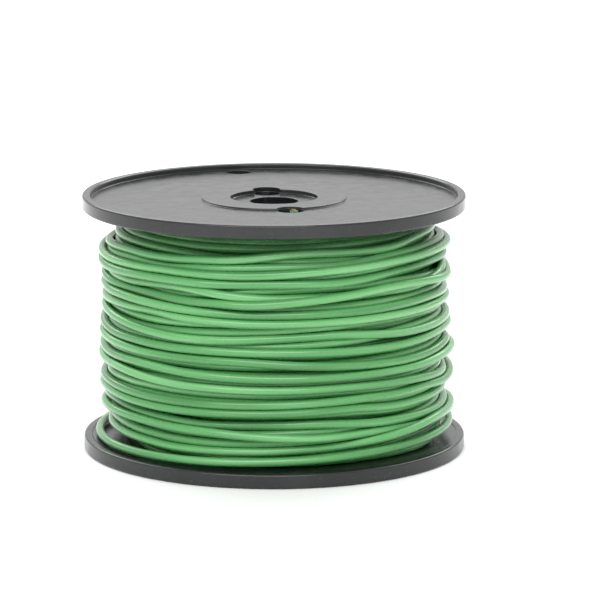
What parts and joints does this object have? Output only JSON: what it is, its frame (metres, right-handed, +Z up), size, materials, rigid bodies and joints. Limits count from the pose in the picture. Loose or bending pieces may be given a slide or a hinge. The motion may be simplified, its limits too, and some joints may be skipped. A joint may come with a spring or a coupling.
{
  "type": "wire spool",
  "caption": "Moulded plastic spool with two rimmed flanges and a central arbor bore, wound full with green insulated stranded wire.",
  "frame": {"origin": "centre of the plane that the bottom rim stands on, on the spool's axis", "axes": "+Z up along the spool's axis, out of the top flange; -Y is the side seen from the front, +X is to its right"},
  "size_m": [0.127, 0.127, 0.0853],
  "materials": {
    "flange_plastic": "satin moulded black",
    "barrel_plastic": "satin moulded black",
    "insulation": "glossy green wire insulation",
    "copper": "bright drawn copper"
  },
  "bodies": {
    "root": {"top_flange": "flange_plastic", "bottom_flange": "flange_plastic", "barrel": "barrel_plastic", "winding_layer_01": "insulation", "winding_layer_02": "insulation", "winding_layer_03": "insulation", "winding_layer_04": "insulation", "winding_layer_05": "insulation", "winding_layer_06": "insulation", "winding_layer_07": "insulation", "winding_layer_08": "insulation", "winding_layer_09": "insulation", "winding_layer_10": "insulation", "winding_layer_11": "insulation", "winding_layer_12": "insulation", "winding_layer_13": "insulation", "winding_layer_14": "insulation", "outer_turns": "insulation", "last_turn": "insulation", "start_tail_jacket": "insulation", "start_tail_strands": "copper", "finish_tail_jacket": "insulation", "finish_tail_strands": "copper"}
  },
  "joints": []
}
